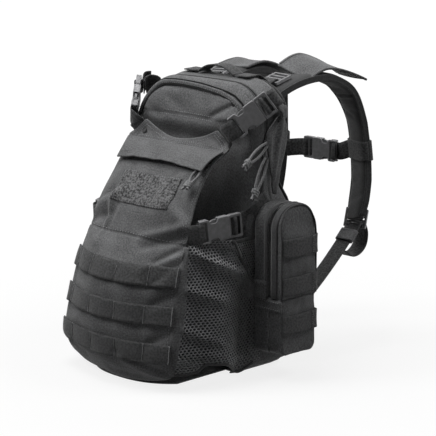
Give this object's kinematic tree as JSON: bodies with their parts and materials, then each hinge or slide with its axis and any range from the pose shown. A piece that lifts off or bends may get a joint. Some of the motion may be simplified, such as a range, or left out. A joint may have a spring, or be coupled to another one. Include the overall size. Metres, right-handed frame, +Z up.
{
  "type": "trauma backpack",
  "caption": "Charcoal trauma backpack with a folding load flap, mesh gussets, side pouches, webbing rows and a padded shoulder harness.",
  "frame": {"origin": "on the floor under the pack, in the middle of its width, 7 mm behind the front foot of the main compartment", "axes": "+X to the right as seen from the front, +Y towards the harness, +Z up"},
  "size_m": [0.3568, 0.4429, 0.406],
  "materials": {
    "body_fabric": "coated woven nylon",
    "mesh": "open hexagonal mesh",
    "lining": "soft napped",
    "padding": "padded nylon",
    "webbing": "ribbed webbing",
    "zip_tape": "zip tape with coil",
    "hardware": "moulded, satin",
    "zip_metal": "black enamel",
    "cord": "braided cord"
  },
  "bodies": {
    "pack": {"main_shell": "body_fabric", "yoke": "body_fabric", "flap_floor": "body_fabric", "mesh_gusset_right": "mesh", "mesh_gusset_left": "mesh", "side_wings": "body_fabric", "main_zip_body_tape": "zip_tape", "frame_sheet": "hardware", "inner_sleeve": "lining", "back_pads": "padding", "grab_handle": "webbing", "upper_strap_webbing": "webbing", "lower_strap_webbing": "webbing", "load_lifter_webbing": "webbing", "shoulder_webbing": "webbing", "pouch_back_right": "body_fabric", "pouch_back_left": "body_fabric", "pouch_lower_right": "body_fabric", "pouch_lower_left": "body_fabric", "pouch_zip_tapes": "zip_tape", "pouch_lower_webbing": "webbing"},
    "front_panel": {"front_panel": "body_fabric", "main_zip_panel_tape": "zip_tape"},
    "flap": {"load_flap": "body_fabric", "flap_webbing_rows": "webbing", "loop_field": "lining", "front_zip_tape": "zip_tape", "strap_stubs": "webbing", "upper_female_right": "hardware", "upper_female_left": "hardware", "lower_female_right": "hardware", "lower_female_left": "hardware"},
    "storm_flap": {"storm_flap": "body_fabric"},
    "front_slider": {"front_zip_slider": "zip_metal"},
    "front_pull": {"front_zip_pull": "cord"},
    "main_slider_upper": {"main_zip_slider_upper": "zip_metal"},
    "main_slider_lower": {"main_zip_slider_lower": "zip_metal"},
    "main_pull_upper": {"main_zip_pull_upper": "cord"},
    "main_pull_lower": {"main_zip_pull_lower": "cord"},
    "upper_male_right": {"upper_male_right": "hardware"},
    "upper_male_left": {"upper_male_left": "hardware"},
    "lower_male_right": {"lower_male_right": "hardware"},
    "lower_male_left": {"lower_male_left": "hardware"},
    "pouch_front_right": {"pouch_front_right": "body_fabric", "pouch_front_webbing_right": "webbing"},
    "pouch_front_left": {"pouch_front_left": "body_fabric", "pouch_front_webbing_left": "webbing"},
    "pouch_slider_right": {"pouch_slider_right": "zip_metal"},
    "pouch_slider_left": {"pouch_slider_left": "zip_metal"},
    "harness": {"shoulder_pad_right": "padding", "shoulder_pad_left": "padding", "strap_panels": "padding", "ladder_locks": "hardware", "strap_sleeves": "webbing", "sternum_webbing": "webbing", "sternum_female": "hardware", "webbing_tails": "webbing"},
    "sternum_male": {"sternum_male": "hardware"}
  },
  "joints": [
    {"name": "flap_fold", "type": "hinge", "parent": "pack", "child": "flap", "pos_m": [0, -0.10494, 0.0054], "axis": [1, 0, 0], "range_deg": [0, 25], "deforming": ["mesh_gusset_right", "mesh_gusset_left", "upper_strap_webbing", "lower_strap_webbing"]},
    {"name": "front_panel_fold", "type": "hinge", "parent": "pack", "child": "front_panel", "pos_m": [0, 0.004, 0.005], "axis": [1, 0, 0], "range_deg": [0, 20]},
    {"name": "storm_flap_lift", "type": "hinge", "parent": "flap", "child": "storm_flap", "pos_m": [0, 0.0053, 0.3057], "axis": [-1, 0, 0], "range_deg": [0, 100]},
    {"name": "front_zip_slide", "type": "hinge", "parent": "flap", "child": "front_slider", "pos_m": [0, 1.46114, -1.32734], "axis": [0, 0.7391, 0.6736], "range_deg": [0, 3.71]},
    {"name": "front_pull_swing", "type": "hinge", "parent": "front_slider", "child": "front_pull", "pos_m": [0.07556, -0.0178, 0.28489], "axis": [0.051, -0.7221, 0.6899], "range_deg": [-25, 11]},
    {"name": "main_zip_slide_upper", "type": "slide", "parent": "pack", "child": "main_slider_upper", "axis": [0, 0.1219, 0.9925], "range_m": [0, 0.014]},
    {"name": "main_zip_slide_lower", "type": "slide", "parent": "pack", "child": "main_slider_lower", "axis": [0, -0.1219, -0.9925], "range_m": [0, 0.03]},
    {"name": "main_pull_swing_upper", "type": "hinge", "parent": "main_slider_upper", "child": "main_pull_upper", "pos_m": [0.12605, 0.05763, 0.313], "axis": [1, 0, 0], "range_deg": [-25, 0]},
    {"name": "main_pull_swing_lower", "type": "hinge", "parent": "main_slider_lower", "child": "main_pull_lower", "pos_m": [0.12605, 0.05591, 0.299], "axis": [1, 0, 0], "range_deg": [-15, 5]},
    {"name": "upper_buckle_release_right", "type": "slide", "parent": "flap", "child": "upper_male_right", "axis": [0.5091, 0.6206, 0.5964], "range_m": [0, 0.024]},
    {"name": "upper_buckle_release_left", "type": "slide", "parent": "flap", "child": "upper_male_left", "axis": [-0.5091, 0.6206, 0.5964], "range_m": [0, 0.024]},
    {"name": "lower_buckle_release_right", "type": "slide", "parent": "flap", "child": "lower_male_right", "axis": [0.2792, 0.9545, 0.1045], "range_m": [0, 0.018]},
    {"name": "lower_buckle_release_left", "type": "slide", "parent": "flap", "child": "lower_male_left", "axis": [-0.2792, 0.9545, 0.1045], "range_m": [0, 0.018]},
    {"name": "pouch_fold_right", "type": "hinge", "parent": "pack", "child": "pouch_front_right", "pos_m": [0.1752, 0.071, 0.112], "axis": [0, 1, 0], "range_deg": [0, 70]},
    {"name": "pouch_zip_slide_right", "type": "slide", "parent": "pack", "child": "pouch_slider_right", "axis": [0, 0, 1], "range_m": [0, 0.06]},
    {"name": "pouch_fold_left", "type": "hinge", "parent": "pack", "child": "pouch_front_left", "pos_m": [-0.1752, 0.071, 0.112], "axis": [0, -1, 0], "range_deg": [0, 70]},
    {"name": "pouch_zip_slide_left", "type": "slide", "parent": "pack", "child": "pouch_slider_left", "axis": [0, 0, 1], "range_m": [0, 0.06]},
    {"name": "harness_swing", "type": "hinge", "parent": "pack", "child": "harness", "pos_m": [0, 0.1114, 0.35], "axis": [1, 0, 0], "range_deg": [-25, 0], "deforming": ["shoulder_webbing", "load_lifter_webbing"]},
    {"name": "sternum_release", "type": "slide", "parent": "harness", "child": "sternum_male", "axis": [-1, 0, 0], "range_m": [0, 0.015], "deforming": ["sternum_webbing"]}
  ],
  "couplings": [
    {"joint": "front_panel_fold", "follows": "flap_fold", "ratio": 0.8}
  ]
}
